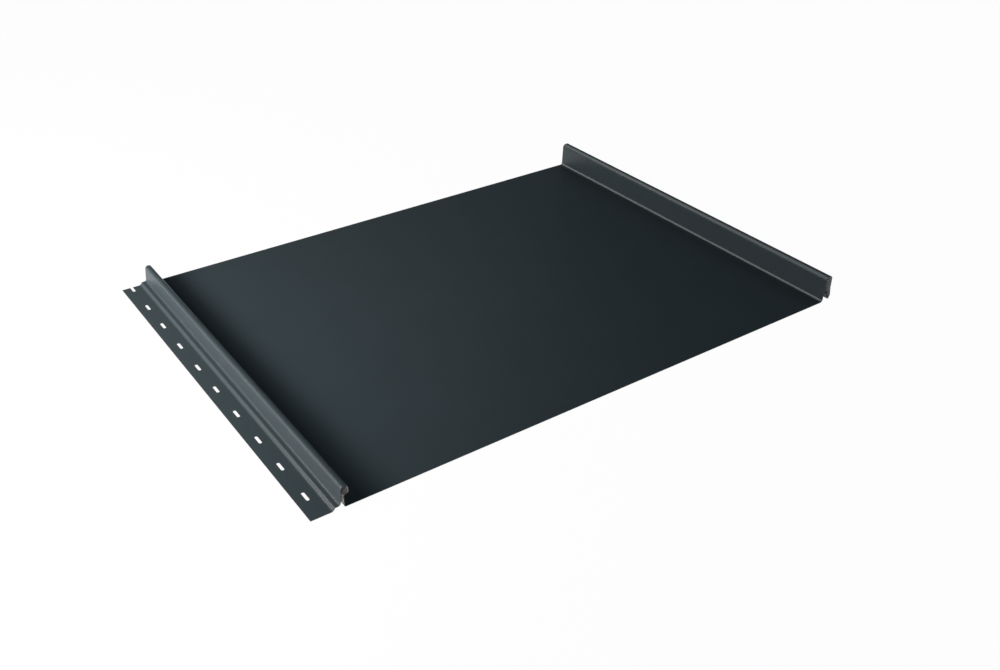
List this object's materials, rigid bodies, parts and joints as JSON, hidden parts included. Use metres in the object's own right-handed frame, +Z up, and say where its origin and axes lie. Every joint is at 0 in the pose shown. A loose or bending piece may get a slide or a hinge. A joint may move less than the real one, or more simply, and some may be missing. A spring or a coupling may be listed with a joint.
{
  "type": "standing seam roof panel",
  "caption": "Click-lock standing seam roof panel: a flat steel pan with a slotted nail flange and male rib along one side and a taller snap-over female rib along the other.",
  "frame": {"origin": "middle of the panel's footprint, level with the underside of its pan and nail flange", "axes": "+X across the panel from the nail flange to the female rib, +Y along the ribs, +Z up out of the weather side"},
  "size_m": [0.5378, 0.396, 0.0252],
  "materials": {
    "coated_steel": "satin"
  },
  "bodies": {
    "root": {"roof_panel": "coated_steel"}
  },
  "joints": []
}
